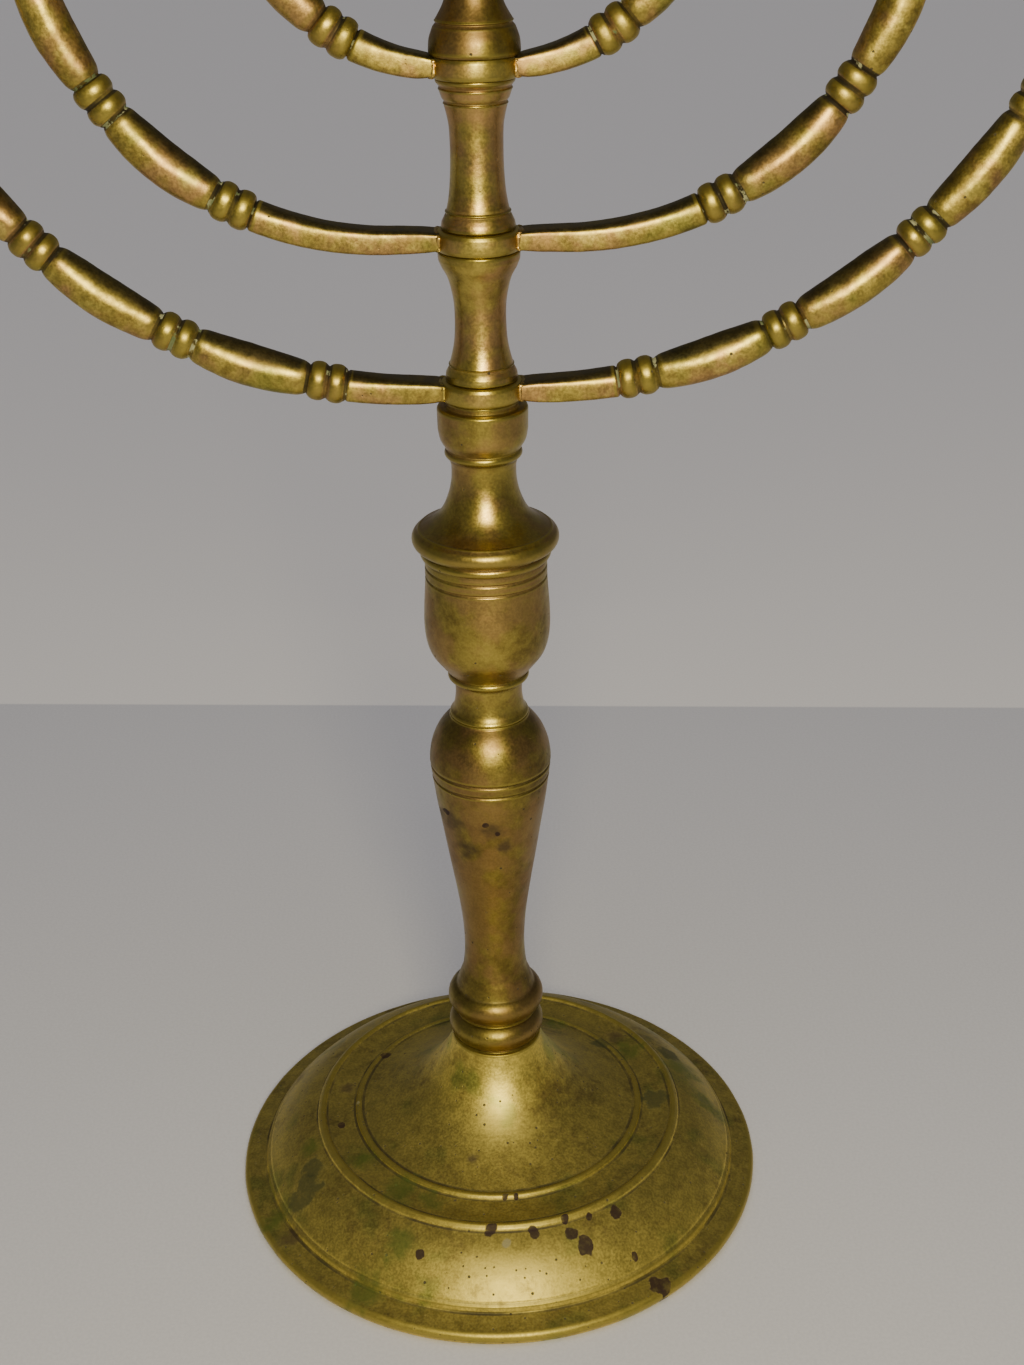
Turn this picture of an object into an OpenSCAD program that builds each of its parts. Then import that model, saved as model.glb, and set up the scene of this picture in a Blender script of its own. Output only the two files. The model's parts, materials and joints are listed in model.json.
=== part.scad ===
// Seven-branched brass menorah: a hollow foot, a stem of turned sections on one tie rod, three pairs
// of arms that swivel on flat rings, and screw-down candle cups with drip pans.
// Millimetres. +Z is up, the arms lie along X, and the origin is on the table under the stem.

/* [Foot] */
// Diameter of the foot
foot_d = 190; // [180:1:200]
// Height of the foot up to the loose bead
foot_h = 57; // [54:0.5:60]
// Wall thickness of the hollow foot
foot_wall = 2.4; // [2:0.1:3]

/* [Stem] */
// Height of the loose bead ring on top of the foot
bead_h = 11.2; // [10:0.1:12]
// Height of the baluster section, with its ball
baluster_h = 119.3; // [110:0.1:130]
// Height of the vase section, up to the lower arm ring
vase_h = 106.9; // [98:0.1:116]
// Height of the lower spool
lower_spool_h = 39; // [36:0.5:44]
// Height of the upper spool
upper_spool_h = 42; // [38:0.5:46]
// Diameter of the tie rod through the stem
rod_d = 6; // [5:0.5:7]

/* [Arms] */
// Height of the flat rings that carry the arms
ring_h = 6.2; // [5.6:0.1:7]
// Diameter of the flat rings
ring_d = 25.2; // [24:0.2:27]
// Distance from the stem to the inner lights
inner_reach = 63; // [60:1:66]
// Distance from the stem to the middle lights
middle_reach = 124; // [120:1:128]
// Distance from the stem to the outer lights
outer_reach = 180; // [176:1:184]
// Largest thickness of an arm
arm_d = 12.4; // [11:0.1:13]
// Thickness of the round beads on an arm
arm_bead_d = 11.6; // [10.6:0.1:12.4]

/* [Lights] */
// Height of the section above the upper ring, up to the seat of its drip pan
shaft_h = 68; // [62:0.5:74]
// Diameter of a drip pan
pan_d = 45; // [38:1:48]
// Diameter of the hole for the candle
candle_d = 22; // [20:0.5:23]
// Depth of the hole for the candle
candle_depth = 22; // [18:0.5:24]

/* [Hidden] */
$fn = 64;

brass = "#a58a3c";
dark_brass = "#7d6a35";
steel = "#8a8a88";

// Heights of the joints in the stem, from the table up
bead_z = foot_h;
baluster_z = bead_z + bead_h;
vase_z = baluster_z + baluster_h;
lower_ring_z = vase_z + vase_h;
lower_spool_z = lower_ring_z + ring_h;
middle_ring_z = lower_spool_z + lower_spool_h;
upper_spool_z = middle_ring_z + ring_h;
upper_ring_z = upper_spool_z + upper_spool_h;
shaft_z = upper_ring_z + ring_h;
// Every drip pan rests at the same height
seat_z = shaft_z + shaft_h;

// The rod, the nut and the washer inside the foot
rod_r = rod_d / 2;
rod_clearance = 0.05;
rod_hole_r = rod_r + rod_clearance;
rod_engagement = 22;
rod_tail = 11;
hub_h = 8;
nut_h = 5;
nut_across_corners = 2.25 * rod_d;
washer_h = 1.5;
washer_d = 24;

// The stud on the end of every arm, which the cup screws down on
stud_r = 2.4;
stud_h = 8;
cup_hole_r = stud_r + 0.05;
pan_hole_r = stud_r + 0.1;

// The drip pan, and the candle cup that stands in it
pan_wall = 1.6;
pan_depth = 5;
cup_z = seat_z + pan_wall;
cup_hole_depth = stud_h - pan_wall + 1;
cup_web = 2.2;
cup_wall = 1.8;

// The pattern along an arm. An arm starts as a squarish bar, which is brazed to the ring, then pairs of
// beads and spindles follow each other up to a round collar under the drip pan.
bead_pitch = 47;
bead_half = 2.5;
bead_gap = 0.15;
pair_half = 2 * bead_half + 0.5;
groove_drop = 1.2;
arm_end_r = 4.8;
arm_root_half_h = ring_h / 2 - 0.4;
arm_root_half_w = 5.2;
arm_sides = 14;
braze_depth = 1.6;
collar_len = 5;
collar_r = 7.5;

// Distance along each arm from the stem to its first pair of beads, and the number of pairs
outer_first_pair = 46.8;
middle_first_pair = 72;
inner_first_pair = 40.5;
outer_pairs = 5;
middle_pairs = 3;
inner_pairs = 2;

// Length of the straight neck between each arm's quarter circle and its drip pan
outer_neck = 0.5;
middle_neck = 21.3;
inner_neck = 16.1;

// ---- Curves ----

// Points of an arc about c, from angle a0 to a1
function arc(c, r, a0, a1, n = 8) =
    [for (i = [0:n])
        let (a = a0 + (a1 - a0) * i / n)
            c + r * [cos(a), sin(a)]];

// A smooth curve through the points p, with n steps between each two
function spline(p, n = 5) = concat(
    [for (i = [0:len(p) - 2]) for (k = [0:n - 1])
        spline_point(k / n, p[max(i - 1, 0)], p[i], p[i + 1], p[min(i + 2, len(p) - 1)])],
    [p[len(p) - 1]]);

// The point at t, from 0 to 1, of the smooth curve between b and c
function spline_point(t, a, b, c, d) =
    b + 0.5 * ((c - a) * t
        + (2 * a - 5 * b + 4 * c - d) * pow(t, 2)
        + (3 * b - a - 3 * c + d) * pow(t, 3));

// An incised line around a turned piece of radius r at height z
function incised(r, z, depth = 0.35, half = 0.45) = [[r, z - half], [r - depth, z], [r, z + half]];

// The outline p, which starts at height 0, with its heights scaled to end at height h
function stretch(p, h) = [for (q = p) [q[0], q[1] * h / p[len(p) - 1][1]]];

// A turned piece of height h with the rod's hole along its axis, standing on height z
module turned(outline, h, z) {
    translate([0, 0, z])
        rotate_extrude()
            polygon(concat([[rod_hole_r, 0]], stretch(outline, h), [[rod_hole_r, h]]));
}

// ---- Foot ----

foot_r = foot_d / 2;
hub_r = 15.8;
cone_r = foot_r - 45.4;
cone_z = 25.4;

// A point of the cone between the flange and the hub: across is 0 at the hub, up is 1 at the hub
function cone_point(across, up) = [hub_r + across * (cone_r - hub_r), cone_z + up * (foot_h - cone_z)];

// Outside of the foot, from the table edge to the hub
foot_outside = concat(
    [[foot_r - 1, 0]],
    arc([foot_r - 2.2, 2.4], 2.2, -45, 90, 9),
    [[foot_r - 4.5, 4.9], [foot_r - 8.6, 7.4], [foot_r - 9.2, 8.6], [foot_r - 9.9, 9]],
    spline([[foot_r - 10.2, 9.6], [foot_r - 16, 15.4], [foot_r - 22, 20], [foot_r - 28.2, 23]], 5),
    [[foot_r - 28.6, 23.9]],
    arc([foot_r - 30.2, 23.6], 1.3, 60, 120, 3),
    [[foot_r - 31.6, 24]],
    spline([[foot_r - 32.2, 23.9], [foot_r - 37, 23.7], [foot_r - 42, 24.3]], 4),
    arc([foot_r - 43.6, 24.4], 1.4, 40, 140, 4),
    spline([cone_point(1, 0), cone_point(0.75, 0.1), cone_point(0.51, 0.24), cone_point(0.3, 0.43),
        cone_point(0.15, 0.64), cone_point(0.05, 0.84), cone_point(0, 1)], 5));

// Inside of the foot, from the hub down to the table edge
foot_inside = concat(
    [[rod_hole_r, foot_h - hub_h]],
    spline([[14, foot_h - hub_h], cone_point(0.15, 0.52) - foot_wall * [1, 1],
        cone_point(0.48, 0.23) - foot_wall * [1, 1], cone_point(0.78, 0.06) - foot_wall * [0, 1],
        [foot_r - 43, 24 - foot_wall], [foot_r - 31, 23.2 - foot_wall], [foot_r - 19 - foot_wall, 15],
        [foot_r - 12 - foot_wall, 8.2]], 5),
    [[foot_r - 10 - foot_wall, 4.4], [foot_r - 8 - foot_wall, 0]]);

module foot() {
    color(brass)
        rotate_extrude()
            polygon(concat(foot_outside, [[rod_hole_r, foot_h]], foot_inside));
}

module foot_bead() {
    outline = concat(
        [[14.6, 0]],
        arc([11.2, 5.3], 5.6, -62, 70, 12),
        [[14.4, 10.8], [14.4, 11.2]]);
    color(brass) turned(outline, bead_h, bead_z);
}

// ---- Stem ----

module stem_baluster() {
    outline = concat(
        [[14.4, 0]],
        arc([11.4, 5.5], 5.5, -57, 60, 12),
        [[13.9, 10.5]],
        spline([[13.7, 10.9], [12.5, 14.4], [11.2, 18.4], [10.6, 25], [10.6, 32], [11.3, 41], [12.8, 52],
            [14.9, 65], [16.8, 77], [18.4, 87], [19.5, 95.4]], 4),
        incised(19.7, 96.7),
        incised(20.1, 100.8),
        spline([[20.25, 102], [20.1, 104.6], [19.3, 108.8], [17.6, 113], [15.6, 116], [13.2, 118.6]], 4),
        [[13, 119.3]]);
    color(brass) turned(outline, baluster_h, baluster_z);
}

module stem_vase() {
    outline = concat(
        [[12.9, 0], [13, 0.6]],
        spline([[12.8, 1], [11.6, 3], [10.9, 7.6], [11.2, 12]], 4),
        arc([12, 14.2], 1.3, -70, 70, 6),
        spline([[13.4, 16.2], [15.9, 19.4], [18.4, 23], [19.8, 27.4], [20.3, 33], [20.1, 39.4], [19.7, 45],
            [19.5, 48.4]], 4),
        incised(19.5, 49.4),
        [[19.45, 51]],
        incised(19.5, 52.9),
        [[19.4, 55.4]],
        arc([19.2, 57.2], 1.6, -80, 60, 6),
        [[20.3, 58.8]],
        arc([20.2, 62.2], 3.1, -60, 62, 10),
        [[21.1, 65.6]],
        spline([[20.4, 65.7], [16.8, 67.8], [13.6, 71.2], [11.3, 76.4], [10.2, 81.4], [10.05, 86]], 4),
        [[10.6, 88.2]],
        arc([10.6, 90.2], 1.5, -70, 60, 5),
        [[11.9, 92.2]],
        spline([[12.1, 92.6], [13.3, 94.8], [13.9, 98]], 4),
        [[14, 104.4], [13.6, 105], [11, 105], [11, 106.9]]);
    color(brass) turned(outline, vase_h, vase_z);
}

module lower_spool() {
    outline = concat(
        [[10.6, 0], [11, 0.5], [10.8, 2.4]],
        incised(10, 4.5),
        spline([[9.6, 5.2], [8.7, 8.6], [8, 12.6], [7.7, 18], [7.8, 23], [8.4, 27], [9.5, 31.2],
            [11.2, 34.4], [12.1, 36.6]], 4),
        [[12.2, 38.6], [11.8, 39]]);
    color(brass) turned(outline, lower_spool_h, lower_spool_z);
}

module upper_spool() {
    outline = concat(
        [[10.6, 0], [11, 0.5], [10.7, 2.2]],
        incised(9.8, 4.6),
        spline([[9.2, 5.6], [8.5, 9], [8, 13.6], [7.7, 20], [7.8, 28], [8.3, 31.6], [9.1, 35]], 4),
        incised(9.4, 35.8),
        spline([[9.7, 36.8], [10.4, 38.8]], 2),
        incised(10.7, 39.8),
        [[11.4, 41.2], [11.4, 42]]);
    color(brass) turned(outline, upper_spool_h, upper_spool_z);
}

// The section that carries the middle light, with its stud on top
module centre_shaft() {
    outline = concat(
        [[12.5, 0], [13, 0.8]],
        spline([[13, 1.6], [12.7, 4.4], [11.6, 7.4]], 4),
        incised(11.2, 8.4),
        spline([[10.9, 9.2], [8.6, 13.2], [7, 18.4], [6.2, 25], [6.3, 30.4]], 4),
        arc([5, 33.4], 2.5, -60, 66, 6),
        [[5.7, 35.9]],
        arc([5, 38.4], 2.6, -66, 60, 6),
        spline([[5.4, 41.2], [6.1, 48], [6.2, 54], [5.4, 61]], 4),
        [[7.2, 62.6], [7.6, 64], [7.6, 66.4], [7, 67]]);
    color(brass)
        translate([0, 0, shaft_z]) {
            difference() {
                rotate_extrude() polygon(concat([[0, 0]], stretch(outline, shaft_h), [[0, shaft_h]]));
                translate([0, 0, -1]) cylinder(r = rod_hole_r, h = rod_engagement + 1);
            }
            translate([0, 0, shaft_h - 1]) cylinder(r = stud_r, h = stud_h + 1);
        }
}

module arm_ring(z) {
    r = ring_d / 2;
    outline = [[r - 0.5, 0], [r, 0.6], [r, ring_h - 0.6], [r - 0.5, ring_h]];
    color(dark_brass) turned(outline, ring_h, z);
}

module lower_ring() { arm_ring(lower_ring_z); }
module middle_ring() { arm_ring(middle_ring_z); }
module upper_ring() { arm_ring(upper_ring_z); }

// ---- Tie rod and its fasteners ----

rod_bottom_z = foot_h - hub_h - washer_h - rod_tail;
rod_top_z = shaft_z + rod_engagement - 2;

module tie_rod() {
    color(steel) translate([0, 0, rod_bottom_z]) cylinder(r = rod_r, h = rod_top_z - rod_bottom_z);
}

module foot_washer() {
    color(steel)
        translate([0, 0, foot_h - hub_h - washer_h])
            difference() {
                cylinder(d = washer_d, h = washer_h);
                translate([0, 0, -1]) cylinder(r = rod_hole_r + 0.2, h = washer_h + 2);
            }
}

module foot_nut() {
    color(steel)
        translate([0, 0, foot_h - hub_h - washer_h - nut_h])
            difference() {
                cylinder(d = nut_across_corners, h = nut_h, $fn = 6);
                translate([0, 0, -1]) cylinder(r = rod_hole_r, h = nut_h + 2);
            }
}

// ---- Arms ----

// The centre line of an arm: level out from the stem, a quarter circle, then straight up.
// reach is where it ends, bend the circle's radius, and s the distance along the line.
function arm_angle(s, reach, bend) = min(max((s - (reach - bend)) / bend * 180 / PI, 0), 90);
function arm_place(s, reach, bend, z) =
    let (a = arm_angle(s, reach, bend), level = min(s, reach - bend),
         rise = max(s - (reach - bend) - bend * PI / 2, 0))
    [level + bend * sin(a), z + bend * (1 - cos(a)) + rise];

// Round bead: half thickness at a distance u from the bead's middle
function bead_r(u) = arm_bead_d / 2 - groove_drop * (1 - sqrt(max(1 - u * u / (bead_half * bead_half), 0)));

// Half thickness of the spindle between two pairs of beads, from t = 0 to t = 1
function spindle_r(t) = arm_end_r + (arm_d / 2 - arm_end_r) * pow(sin(180 * t), 0.7);

// One cross-section is [distance along the arm, half width, half height, squareness].
// A pair of beads with its middle at s
function bead_pair(s) = [for (side = [-1, 1]) for (u = [-0.98, -0.75, -0.4, 0, 0.4, 0.75, 0.98] * bead_half)
    [s + side * (bead_half + bead_gap) + u, bead_r(u), bead_r(u), 2.2]];

// A spindle from s0 to s1
function spindle(s0, s1) = [for (t = [0.02, 0.1, 0.22, 0.36, 0.5, 0.64, 0.78, 0.9, 0.98])
    [s0 + (s1 - s0) * t, spindle_r(t), spindle_r(t), 2.5]];

// The squarish bar at the root, from s0 to s1
function root_bar(s0, s1) = [for (t = [0, 0.2, 0.4, 0.6, 0.8, 0.95, 1])
    let (edge = t == 1 ? 0.5 : 0)
        [s0 + (s1 - s0) * t,
         arm_root_half_w - 0.3 * t - edge,
         arm_root_half_h + 1.6 * t - edge,
         5 - 2.4 * t]];

// The round collar under the pan, from s0 to s1
function collar(s0, s1) = [
    [s0, arm_end_r, arm_end_r, 2],
    [s0 + 0.6, collar_r - 0.5, collar_r - 0.5, 2],
    [s0 + 1.4, collar_r, collar_r, 2],
    [s1 - 0.8, collar_r, collar_r, 2],
    [s1, collar_r - 0.5, collar_r - 0.5, 2]];

// All the cross-sections of an arm whose pairs of beads are at the distances in pairs
function arm_sections(pairs, end) = concat(
    root_bar(ring_d / 2 - braze_depth, pairs[0] - pair_half),
    [for (i = [0:len(pairs) - 1])
        let (next = i < len(pairs) - 1 ? pairs[i + 1] - pair_half : end - collar_len)
        each concat(bead_pair(pairs[i]), spindle(pairs[i] + pair_half, next))],
    collar(end - collar_len, end));

// The ring of points of one cross-section
function section_ring(q, reach, bend, z) =
    let (c = arm_place(q[0], reach, bend, z), a = arm_angle(q[0], reach, bend), p = 2 / q[3])
    [for (k = [0:arm_sides - 1])
        let (w = 360 * (k + 0.5) / arm_sides,
             across = q[1] * sign(cos(w)) * pow(abs(cos(w)), p),
             up = q[2] * sign(sin(w)) * pow(abs(sin(w)), p))
        [c[0] - up * sin(a), across, c[1] + up * cos(a)]];

// An arm on the +X side, brazed to the ring at height ring_z, with its stud on the end
module arm(reach, ring_z, neck, first_pair, pairs) {
    z = ring_z + ring_h / 2;
    bend = min(seat_z - z - neck, reach - 6);
    end = (reach - bend) + bend * PI / 2 + (seat_z - z - bend);
    sections = arm_sections([for (i = [0:pairs - 1]) first_pair + bead_pitch * i], end);
    last = len(sections) - 1;
    points = [for (q = sections) each section_ring(q, reach, bend, z)];
    sides = [for (i = [0:last - 1]) for (k = [0:arm_sides - 1])
        let (k2 = (k + 1) % arm_sides, a = i * arm_sides, b = a + arm_sides)
        [a + k, b + k, b + k2, a + k2]];
    caps = [[for (k = [0:arm_sides - 1]) k], [for (k = [arm_sides - 1:-1:0]) last * arm_sides + k]];
    color(brass) {
        polyhedron(points, concat(sides, caps), convexity = 6);
        translate([reach, 0, seat_z - 1]) cylinder(r = stud_r, h = stud_h + 1);
    }
}

module outer_arm() { arm(outer_reach, lower_ring_z, outer_neck, outer_first_pair, outer_pairs); }
module middle_arm() { arm(middle_reach, middle_ring_z, middle_neck, middle_first_pair, middle_pairs); }
module inner_arm() { arm(inner_reach, upper_ring_z, inner_neck, inner_first_pair, inner_pairs); }

module outer_arm_left() { mirror([1, 0, 0]) outer_arm(); }
module outer_arm_right() { outer_arm(); }
module middle_arm_left() { mirror([1, 0, 0]) middle_arm(); }
module middle_arm_right() { middle_arm(); }
module inner_arm_left() { mirror([1, 0, 0]) inner_arm(); }
module inner_arm_right() { inner_arm(); }

// ---- Lights ----

module drip_pan(x) {
    r = pan_d / 2;
    outside = concat(
        [[pan_hole_r, 0]],
        spline([[r - 8, 0], [r - 3.4, 1.4], [r - 1.2, pan_depth - 1.2]], 4),
        arc([r - 0.9, pan_depth - 0.9], 0.9, -30, 150, 8));
    inside = concat(
        spline([[r - 2.6, pan_depth - 1.6], [r - 4.6, 2.9], [r - 8.6, pan_wall]], 4),
        [[pan_hole_r, pan_wall]]);
    color(brass) translate([x, 0, seat_z]) rotate_extrude() polygon(concat(outside, inside));
}

module candle_cup(x) {
    bore_r = candle_d / 2;
    wall_r = bore_r + cup_wall;
    floor_z = cup_hole_depth + cup_web;
    top = floor_z + candle_depth;
    outside = concat(
        [[cup_hole_r, 0], [8.2, 0], [8.8, 0.5]],
        arc([8, 1.3], 0.9, -30, 80, 5),
        spline([[7.6, 2.4], [7.2, 3.6], [9.4, 5.8], [wall_r, floor_z - 1], [wall_r + 1.1, floor_z + 4],
            [wall_r + 1.1, floor_z + 9], [wall_r - 0.2, top - 5]], 4),
        [[wall_r, top - 3.4], [wall_r + 1.4, top - 2.6]],
        arc([wall_r + 1.2, top - 1.3], 1.3, -70, 90, 8));
    candle_hole = [[bore_r, top], [bore_r, floor_z], [0, floor_z]];
    stud_hole = [[0, cup_hole_depth], [cup_hole_r, cup_hole_depth]];
    color(brass)
        translate([x, 0, cup_z])
            rotate_extrude()
                polygon(concat(outside, candle_hole, stud_hole));
}

module pan_centre() { drip_pan(0); }
module pan_inner_left() { drip_pan(-inner_reach); }
module pan_inner_right() { drip_pan(inner_reach); }
module pan_middle_left() { drip_pan(-middle_reach); }
module pan_middle_right() { drip_pan(middle_reach); }
module pan_outer_left() { drip_pan(-outer_reach); }
module pan_outer_right() { drip_pan(outer_reach); }

module cup_centre() { candle_cup(0); }
module cup_inner_left() { candle_cup(-inner_reach); }
module cup_inner_right() { candle_cup(inner_reach); }
module cup_middle_left() { candle_cup(-middle_reach); }
module cup_middle_right() { candle_cup(middle_reach); }
module cup_outer_left() { candle_cup(-outer_reach); }
module cup_outer_right() { candle_cup(outer_reach); }

foot();
foot_bead();
stem_baluster();
stem_vase();
lower_ring();
lower_spool();
middle_ring();
upper_spool();
upper_ring();
centre_shaft();
tie_rod();
foot_washer();
foot_nut();
outer_arm_left();
outer_arm_right();
middle_arm_left();
middle_arm_right();
inner_arm_left();
inner_arm_right();
pan_centre();
pan_inner_left();
pan_inner_right();
pan_middle_left();
pan_middle_right();
pan_outer_left();
pan_outer_right();
cup_centre();
cup_inner_left();
cup_inner_right();
cup_middle_left();
cup_middle_right();
cup_outer_left();
cup_outer_right();
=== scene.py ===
"""Looks of the seven-branched brass menorah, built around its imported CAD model.

Outlines and sections are written in millimetres, and everything placed in the scene is in metres.
A turned piece's mesh stands on its own origin, with its axis along Z.
"""

import json
import math

import bmesh
import bpy
import numpy as np
from mathutils import Matrix, Vector, noise


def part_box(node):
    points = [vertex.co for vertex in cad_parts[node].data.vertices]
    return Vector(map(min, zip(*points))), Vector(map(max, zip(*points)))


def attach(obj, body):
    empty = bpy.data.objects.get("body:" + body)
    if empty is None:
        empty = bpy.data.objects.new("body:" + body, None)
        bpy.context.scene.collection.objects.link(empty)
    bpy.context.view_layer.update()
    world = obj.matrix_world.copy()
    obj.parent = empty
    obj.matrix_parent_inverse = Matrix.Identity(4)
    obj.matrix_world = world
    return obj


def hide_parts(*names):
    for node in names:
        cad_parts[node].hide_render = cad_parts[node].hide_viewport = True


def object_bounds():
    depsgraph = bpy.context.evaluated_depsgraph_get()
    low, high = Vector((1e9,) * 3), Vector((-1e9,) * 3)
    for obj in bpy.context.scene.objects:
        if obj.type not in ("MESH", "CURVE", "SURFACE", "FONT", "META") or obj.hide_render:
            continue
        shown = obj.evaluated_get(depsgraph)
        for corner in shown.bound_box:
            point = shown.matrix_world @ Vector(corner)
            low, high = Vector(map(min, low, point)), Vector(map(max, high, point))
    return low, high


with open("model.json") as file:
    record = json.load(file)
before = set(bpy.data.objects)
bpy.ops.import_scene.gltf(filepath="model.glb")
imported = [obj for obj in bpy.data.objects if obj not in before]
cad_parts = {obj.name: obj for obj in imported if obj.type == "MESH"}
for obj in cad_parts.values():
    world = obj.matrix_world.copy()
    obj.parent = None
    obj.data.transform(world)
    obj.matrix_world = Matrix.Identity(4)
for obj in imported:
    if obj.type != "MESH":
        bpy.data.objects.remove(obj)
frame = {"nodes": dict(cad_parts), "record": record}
cad_low, cad_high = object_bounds()

MM = 0.001

# Radius of the rod's hole through the stem, the rings that carry the arms, and where the pans sit
ROD_HOLE = 3.05
RING_RADIUS = 12.6
RING_HEIGHT = 6.2
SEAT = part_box("pan_centre")[0].z / MM

# ---- Outlines ----


def arc(centre, radius, start, end, steps=8):
    """Points of an arc round centre, with its angles in degrees."""
    angles = np.radians(np.linspace(start, end, steps + 1))
    return [(centre[0] + radius * math.cos(a), centre[1] + radius * math.sin(a)) for a in angles]


def spline(points, steps=5):
    """A smooth curve through the points, with this many steps between each two."""
    points = np.array(points, float)
    padded = np.vstack([points[:1], points, points[-1:]])
    curve = []
    for a, b, c, d in zip(padded, padded[1:], padded[2:], padded[3:]):
        for t in np.arange(steps) / steps:
            bend = (2 * a - 5 * b + 4 * c - d) * t * t + (3 * b - a - 3 * c + d) * t**3
            curve.append(tuple(b + 0.5 * ((c - a) * t + bend)))
    return curve + [tuple(points[-1])]


def incised(radius, height, depth=0.5, half=0.55):
    """A line cut round a turned piece."""
    return [(radius, height - half), (radius - depth, height), (radius, height + half)]


def soften(points, size=0.3, sharp=18):
    """The outline with each corner that turns by more than sharp degrees worn round."""
    worn = [points[0]]
    for before, corner, after in zip(points, points[1:], points[2:]):
        corner = np.array(corner)
        back, ahead = np.array(before) - corner, np.array(after) - corner
        lengths = np.linalg.norm(back), np.linalg.norm(ahead)
        turn = 180 - math.degrees(math.acos(np.clip(back @ ahead / (lengths[0] * lengths[1]), -1, 1)))
        if turn < sharp:
            worn.append(tuple(corner))
            continue
        start = corner + back / lengths[0] * min(size, 0.4 * lengths[0])
        end = corner + ahead / lengths[1] * min(size, 0.4 * lengths[1])
        for t in (0, 0.25, 0.5, 0.75, 1):
            worn.append(tuple((1 - t) ** 2 * start + 2 * t * (1 - t) * corner + t * t * end))
    return worn + [points[-1]]


def refine(points, step=0.8):
    """The outline with no stretch longer than step."""
    fine = []
    for a, b in zip(np.array(points[:-1]), np.array(points[1:])):
        parts = max(1, math.ceil(np.linalg.norm(b - a) / step))
        fine += [a + (b - a) * i / parts for i in range(parts)]
    return np.array(fine + [np.array(points[-1])])


def relief(points, reach=1.0, full=0.36):
    """How far each point of an outline lies in a groove, up to 1, or stands on an edge, down to -1."""
    steps = np.linalg.norm(np.diff(points, axis=0), axis=1)
    along = np.concatenate([[0], np.cumsum(steps)])
    sides = [
        np.stack([np.interp(along + shift, along, points[:, k]) for k in (0, 1)], axis=1)
        for shift in (-reach, reach)
    ]
    run = sides[1] - sides[0]
    outward = np.stack([run[:, 1], -run[:, 0]], axis=1)
    outward /= np.maximum(np.linalg.norm(outward, axis=1, keepdims=True), 1e-9)
    depth = ((sides[0] + sides[1]) / 2 - points) * outward
    return np.clip(depth.sum(axis=1) / full, -1, 1)


# ---- Meshes ----


def tube_faces(rows, columns, closed_rows=False):
    """Quads of a grid of points whose columns go round."""
    faces = []
    for i in range(rows if closed_rows else rows - 1):
        here, above = i * columns, (i + 1) % rows * columns
        for k in range(columns):
            nxt = (k + 1) % columns
            faces.append((here + k, here + nxt, above + nxt, above + k))
    return faces


def build(name, points, faces, groove, seed, material, body, place=(0, 0, 0), sharp=40):
    """A smooth piece that rides on a body. groove and seed are read by its material."""
    mesh = bpy.data.meshes.new(name)
    mesh.from_pydata([tuple(p) for p in points], [], faces)
    for label, values in (("groove", groove), ("seed", np.full(len(points), float(seed)))):
        mesh.attributes.new(label, "FLOAT", "POINT").data.foreach_set("value", values)
    shape = bmesh.new()
    shape.from_mesh(mesh)
    bmesh.ops.remove_doubles(shape, verts=shape.verts, dist=1e-6)
    shape.to_mesh(mesh)
    shape.free()
    mesh.shade_smooth()
    mesh.set_sharp_from_angle(angle=math.radians(sharp))
    mesh.materials.append(material)
    piece = bpy.data.objects.new(name, mesh)
    piece.location = place
    bpy.context.collection.objects.link(piece)
    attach(piece, body)
    return piece


def body_of(node):
    """The CAD body that a node belongs to."""
    bodies = frame["record"]["behaviour"]["bodies"]
    return next(name for name, nodes in bodies.items() if node in nodes)


def turned(node, outline, material, seed, columns=128, wobble=0.05):
    """Stands for a turned CAD node. The outline is a closed loop in millimetres from the node's base."""
    loop = refine(soften(outline + [outline[0]]))[:-1]
    low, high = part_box(node)
    place = ((low.x + high.x) / 2, (low.y + high.y) / 2, low.z)
    angles = np.arange(columns) * 2 * math.pi / columns
    points = []
    for r, z in loop:
        for a in angles:
            where = Vector((r * math.cos(a), r * math.sin(a), z))
            wear = wobble * (0.5 + 0.5 * noise.noise(where * 0.11 + Vector((seed, 0, 0))))
            worn = r - wear if r > ROD_HOLE + 0.5 else r
            points.append((worn * math.cos(a) * MM, worn * math.sin(a) * MM, z * MM))
    faces = tube_faces(len(loop), columns, closed_rows=True)
    groove = np.repeat(relief(loop), columns)
    piece = build(node + "_turned", points, faces, groove, seed, material, body_of(node), place)
    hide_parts(node)


def with_rod_hole(outside):
    """Closes a stem section's outside with the hole for the tie rod."""
    return [(ROD_HOLE, outside[0][1])] + outside + [(ROD_HOLE, outside[-1][1])]


# ---- Materials ----


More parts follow.
